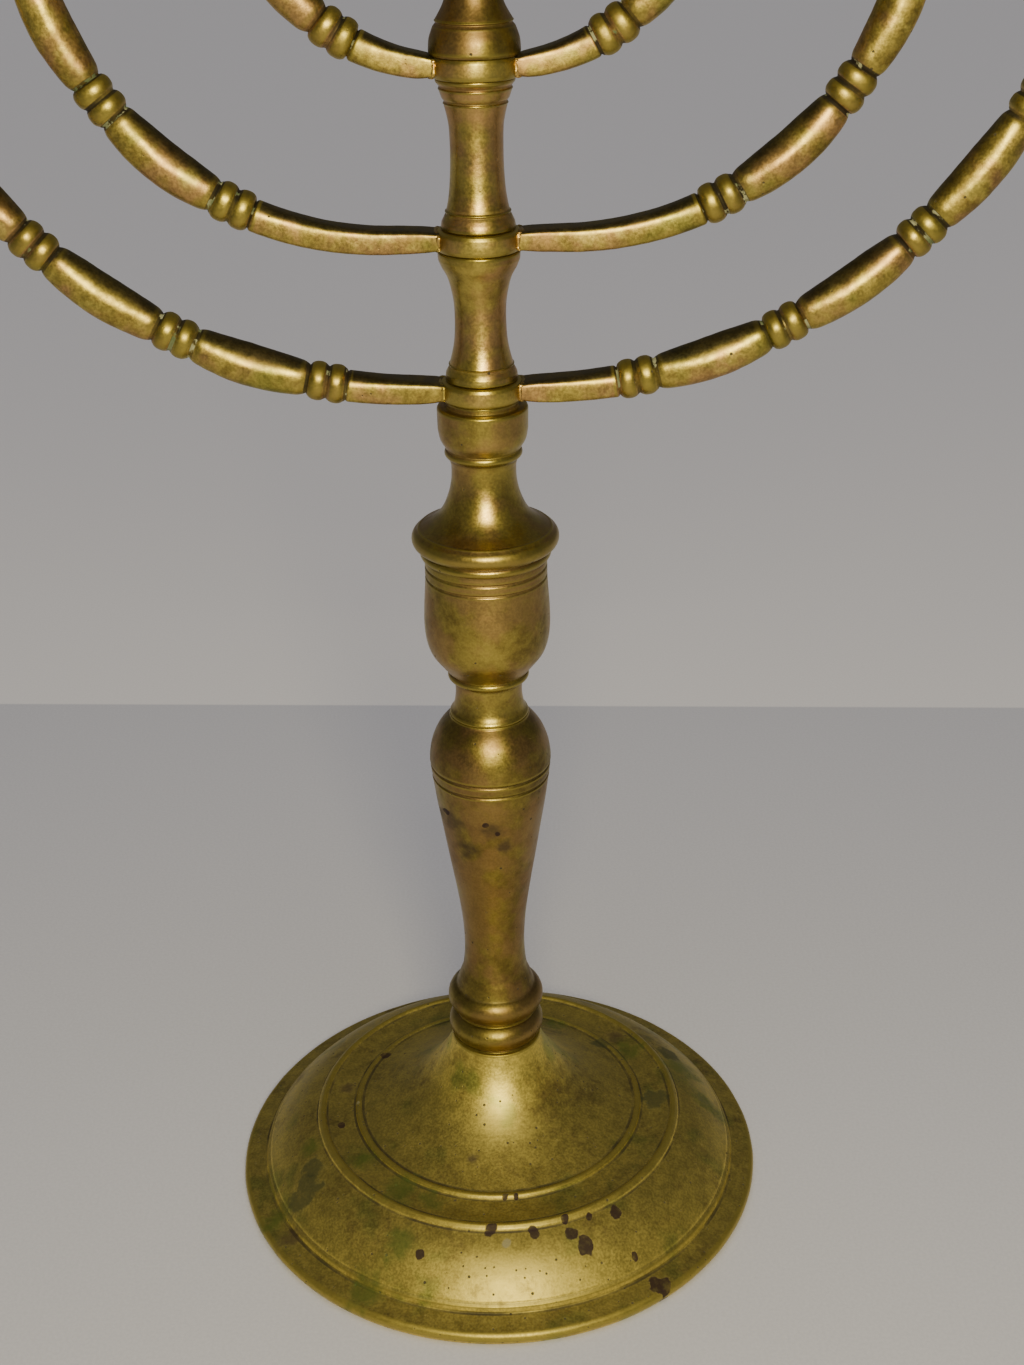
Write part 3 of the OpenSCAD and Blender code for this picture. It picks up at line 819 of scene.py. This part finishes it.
def arm(side, name, ring, first_pair, pair_count, neck, seed):
    """One arm with its stud, and the seam on its ring. side is -1 on the left and 1 on the right."""
    node = f"{name}_arm_{'left' if side < 0 else 'right'}"
    pan_low, pan_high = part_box("pan_" + node.replace("_arm", ""))
    reach = abs(pan_low.x + pan_high.x) / 2 / MM
    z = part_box(ring)[0].z / MM + RING_HEIGHT / 2
    bend = SEAT - z - neck
    end = reach - bend + bend * math.pi / 2 + neck
    shake = [noise.noise(Vector((seed, i, 0.5))) for i in range(pair_count)]
    pairs = [first_pair + BEAD_PITCH * i + 0.8 * shake[i] for i in range(pair_count)]

    swept, groove = arm_points(side, reach, bend, z, pairs, end, seed)
    stud = stud_points(side, reach)
    faces = capped_tube(len(swept) // ARM_COLUMNS, ARM_COLUMNS, 0)
    if side > 0:
        faces = [face[::-1] for face in faces]
    faces += capped_tube(len(stud) // ARM_COLUMNS, ARM_COLUMNS, len(swept))
    groove = np.append(groove, np.zeros(len(stud)))
    piece = build(node + "_cast", swept + stud, faces, groove, seed, arm_metal, body_of(node))
    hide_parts(node)
    braze(side, node, z, seed)


def braze(side, node, z, seed):
    """The uneven seam of braze metal where an arm's bar meets its ring."""
    around, tube = 96, 12
    squareness = 5
    points = []
    for i in range(around):
        w = 2 * math.pi * i / around
        across, up = boxy(w, ROOT_HALF_WIDTH + 0.1, ROOT_HALF_HEIGHT - 0.1, squareness)
        x = math.sqrt(RING_RADIUS**2 - across**2)
        out = Vector((0, math.cos(w), math.sin(w)))
        lump = noise.noise(Vector((3.1 * math.cos(w), 3.1 * math.sin(w), seed)))
        for k in range(tube):
            v = 2 * math.pi * k / tube
            crumb = noise.noise(Vector((0.9 * i, 0.8 * k, seed)))
            thick = max(0.12, 0.5 + 0.75 * lump + 0.35 * crumb)
            spot = Vector((x + 1.1 * thick * math.cos(v), across, up)) + out * 0.55 * thick * math.sin(v)
            height = z + min(spot.z, RING_HEIGHT / 2 - 0.05)
            points.append((side * spot.x * MM, spot.y * MM, height * MM))
    faces = tube_faces(around, tube, closed_rows=True)
    if side < 0:
        faces = [face[::-1] for face in faces]
    # A groove of 0.3 darkens the whole seam a little, partly dirt and partly painted shade in the crease
    # between bar and ring.
    groove = np.full(len(points), 0.3)
    build("braze_" + node, points, faces, groove, seed + 20, ring_metal, body_of(node))


# Each pair of arms: name, ring, distance to the first beads, pairs of beads, straight length at the top
ARM_KINDS = (
    ("outer", "lower_ring", 46.8, 5, 0.5),
    ("middle", "middle_ring", 72.0, 3, 21.3),
    ("inner", "upper_ring", 40.5, 2, 16.1),
)
for number, kind in enumerate(ARM_KINDS):
    for side in (-1, 1):
        arm(side, *kind, seed=11 + 2 * number + (side > 0))

# ---- Lights ----

PAN_RADIUS = 22.5
pan_outline = (
    [(2.5, 0.0)]
    + spline([(PAN_RADIUS - 8, 0), (PAN_RADIUS - 3.4, 1.4), (PAN_RADIUS - 1.2, 3.8)])
    + arc((PAN_RADIUS - 0.9, 4.1), 0.9, -30, 150, 10)
    + spline([(PAN_RADIUS - 2.6, 3.4), (PAN_RADIUS - 4.6, 2.9), (PAN_RADIUS - 8.6, 1.6)])
    + [(2.5, 1.6)]
)
cup_outline = (
    [(2.45, 0.0), (8.2, 0.0), (8.8, 0.5)]
    + arc((8, 1.3), 0.9, -30, 80, 6)
    + spline([(7.6, 2.4), (7.2, 3.6), (9.4, 5.8), (12.8, 8.6), (13.9, 13.6), (13.9, 18.6), (12.6, 26.6)])
    + [(12.8, 28.2), (14.2, 29.0)]
    + arc((14, 30.3), 1.3, -70, 90, 10)
    + [(11.0, 31.6), (11.0, 9.6), (0.0, 9.6), (0.0, 7.4), (2.45, 7.4)]
)
LIGHTS = ("centre", "inner_left", "inner_right", "middle_left", "middle_right", "outer_left", "outer_right")
for seed, light in enumerate(LIGHTS, 30):
    turned("pan_" + light, pan_outline, light_metal, seed, columns=96, wobble=0.08)
    turned("cup_" + light, cup_outline, light_metal, seed + 10, columns=80, wobble=0.04)

for node in ("tie_rod", "foot_washer", "foot_nut"):
    for slot in frame["nodes"][node].material_slots:
        slot.material = steel_metal

# ---- Floor, light and camera ----

# Metres. The wall is a lighter part of the floor, behind a line that runs a little askew
FLOOR_HALF = 14.0
FLOOR_GAP = 0.0002
WALL_DISTANCE = 0.361
WALL_SLANT = 0.0465
WALL_EDGE = 0.002


def floor_paint():
    """Pale paint, lighter behind the line where a wall would stand."""
    s = Shader("floor_paint")
    place = s.node("TexCoord").outputs["Object"]
    x, y, _ = s.axes(place)
    behind = s.ramp(s.plus(y, s.times(x, WALL_SLANT)), WALL_DISTANCE, WALL_DISTANCE + WALL_EDGE)
    grain = s.ramp(s.noise(place, 1.2, detail=4), 0.3, 0.7)
    table = s.mix(grain, (0.50, 0.482, 0.515), (0.54, 0.522, 0.555))
    wall = s.mix(grain, (0.72, 0.675, 0.665), (0.76, 0.715, 0.705))
    s.put(s.surface.inputs["Base Color"], s.mix(behind, table, wall))
    s.surface.inputs["Roughness"].default_value = 0.6
    return s.material


def add_floor():
    """A wide floor, which lies just under the foot."""
    mesh = bpy.data.meshes.new("floor")
    corners = [(x * FLOOR_HALF, y * FLOOR_HALF, 0) for x, y in ((-1, -1), (1, -1), (1, 1), (-1, 1))]
    mesh.from_pydata(corners, [], [(0, 1, 2, 3)])
    mesh.materials.append(floor_paint())
    floor = bpy.data.objects.new("floor", mesh)
    floor.location.z = cad_low.z - FLOOR_GAP
    bpy.context.collection.objects.link(floor)


def add_world():
    """Dim, even room light."""
    world = bpy.data.worlds.new("room")
    bpy.context.scene.world = world
    world.use_nodes = True
    background = world.node_tree.nodes["Background"]
    background.inputs["Color"].default_value = (1.0, 0.98, 0.97, 1.0)
    background.inputs["Strength"].default_value = 0.15


def add_key_light():
    """A warm, square soft light above the camera."""
    place, target = Vector((0.05, -0.72, 0.60)), Vector((0, 0, 0.22))
    data = bpy.data.lights.new("key", "AREA")
    data.size = 0.24
    data.energy = 7.5
    data.color = (1.0, 0.91, 0.58)
    light = bpy.data.objects.new("key", data)
    light.location = place
    light.visible_camera = False
    light.rotation_euler = (target - place).to_track_quat("-Z", "Y").to_euler()
    bpy.context.collection.objects.link(light)


def add_floor_wash():
    """Even light that nothing mirrors, so it shows on the floor and hardly on the metal."""
    data = bpy.data.lights.new("floor_wash", "SUN")
    data.angle = math.radians(60)
    data.energy = 1.10
    data.color = (0.90, 0.94, 1.0)
    sun = bpy.data.objects.new("floor_wash", data)
    sun.visible_glossy = False
    bpy.context.collection.objects.link(sun)


def add_camera():
    """The camera stands in front of the object and looks down at it."""
    data = bpy.data.cameras.new("camera")
    data.sensor_width = 36.0
    data.lens = 47.47
    camera = bpy.data.objects.new("camera", data)
    pitch, yaw, roll = math.radians(26.88), math.radians(0.22), math.radians(-0.92)
    aim = Matrix.Rotation(-yaw, 4, "Z") @ Matrix.Rotation(math.pi / 2 - pitch, 4, "X")
    place = Matrix.Translation((0.0056, -0.5261, 0.4643))
    camera.matrix_world = place @ aim @ Matrix.Rotation(roll, 4, "Z")
    bpy.context.collection.objects.link(camera)
    bpy.context.scene.camera = camera


add_floor()
add_world()
add_key_light()
add_floor_wash()
add_camera()
